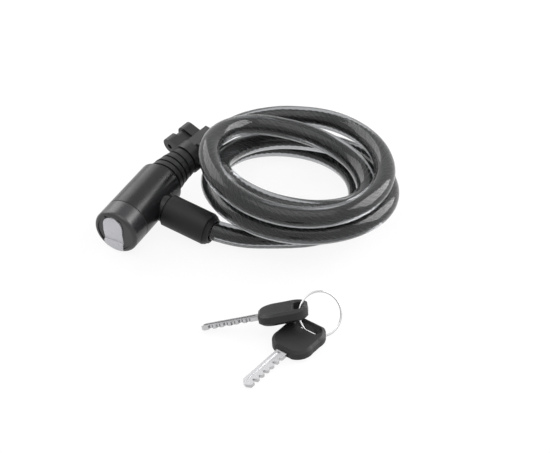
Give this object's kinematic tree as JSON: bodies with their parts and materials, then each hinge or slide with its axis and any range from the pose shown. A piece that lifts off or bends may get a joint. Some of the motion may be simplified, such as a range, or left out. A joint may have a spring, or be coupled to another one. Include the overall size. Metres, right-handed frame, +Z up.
{
  "type": "coiled cable lock",
  "caption": "Keyed cable lock, closed: barrel head with plug-in bolt, coiled jacketed steel cable, ribbed boot, frame bracket and keys on a wire ring.",
  "frame": {"origin": "bottom centre of the box round the lock head, bolt end, bracket and keys, without the cable", "axes": "+Z up from the ground the lock lies on, +Y away from the viewer, +X to the viewer's right, coil on the +X side of the head"},
  "size_m": [0.1721, 0.2259, 0.0495],
  "materials": {
    "head_gloss": "satin black",
    "head_satin": "satin black",
    "flap_grey": "matt light grey",
    "steel": "bright",
    "cast_metal": "as cast",
    "brass": "machined",
    "rope": "twisted",
    "rubber": "matt",
    "bracket_plastic": "matt",
    "key_metal": "nickel plated",
    "key_plastic": "fine grain",
    "jacket": "clear smoke grey"
  },
  "bodies": {
    "head": {"head_shell": "head_gloss", "front_cap": "head_satin", "flap_pin": "steel", "cap_pin": "steel", "lock_case": "cast_metal", "rear_block": "cast_metal", "head_ferrule": "steel", "anchor_pin": "steel", "head_rope_end": "rope", "boot": "rubber", "cable_lead": "jacket", "cable_coil": "jacket"},
    "flap": {"flap": "flap_grey"},
    "plug": {"key_plug": "brass", "wafers": "brass", "cam": "steel"},
    "latch": {"latch": "steel"},
    "bolt_end": {"bolt_pin": "steel", "seal_ring": "rubber", "bolt_ferrule": "steel", "bolt_rope_end": "rope", "bolt_sleeve": "head_gloss", "sleeve_collar": "rubber", "cable_tail": "jacket"},
    "bracket": {"bracket_body": "bracket_plastic", "pinch_screw": "steel", "pinch_nut": "steel"},
    "ring": {"key_ring": "steel"},
    "key_one": {"key_1_blade": "key_metal", "key_1_head": "key_plastic"},
    "key_two": {"key_2_blade": "key_metal", "key_2_head": "key_plastic"}
  },
  "joints": [
    {"name": "flap_hinge", "type": "hinge", "parent": "head", "child": "flap", "pos_m": [-0.0573, 0.01433, 0.02321], "axis": [-0.8841, 0.464, 0.0556], "range_deg": [0, 90]},
    {"name": "plug_turn", "type": "hinge", "parent": "head", "child": "plug", "pos_m": [-0.05544, 0.01635, 0.01437], "axis": [0.4673, 0.8789, 0.0958], "range_deg": [0, 90]},
    {"name": "latch_slide", "type": "slide", "parent": "head", "child": "latch", "axis": [-0.1274, 0.1742, -0.9764], "range_m": [0, 0.00312]},
    {"name": "bolt_pull", "type": "slide", "parent": "head", "child": "bolt_end", "axis": [0.8749, -0.4441, -0.1933], "range_m": [0, 0.022], "deforming": ["cable_tail"]},
    {"name": "bracket_swivel", "type": "hinge", "parent": "head", "child": "bracket", "pos_m": [-0.01952, 0.07684, 0.02266], "axis": [0.6831, 0.6972, 0.2175], "range_deg": [-12, 9]},
    {"name": "ring_lift", "type": "slide", "parent": "head", "child": "ring", "axis": [0, 0, 1], "range_m": [0, 0.06]},
    {"name": "key_one_swing", "type": "hinge", "parent": "ring", "child": "key_one", "pos_m": [0.04526, -0.05566, 0.01319], "axis": [-0.0875, -0.667, -0.7399], "range_deg": [-4, 4]},
    {"name": "key_two_swing", "type": "hinge", "parent": "ring", "child": "key_two", "pos_m": [0.04909, -0.06113, 0.00467], "axis": [0.7156, -0.2307, -0.6594], "range_deg": [-4, 4]}
  ],
  "couplings": [
    {"joint": "latch_slide", "follows": "plug_turn", "m_per_rad": 0.001981}
  ]
}
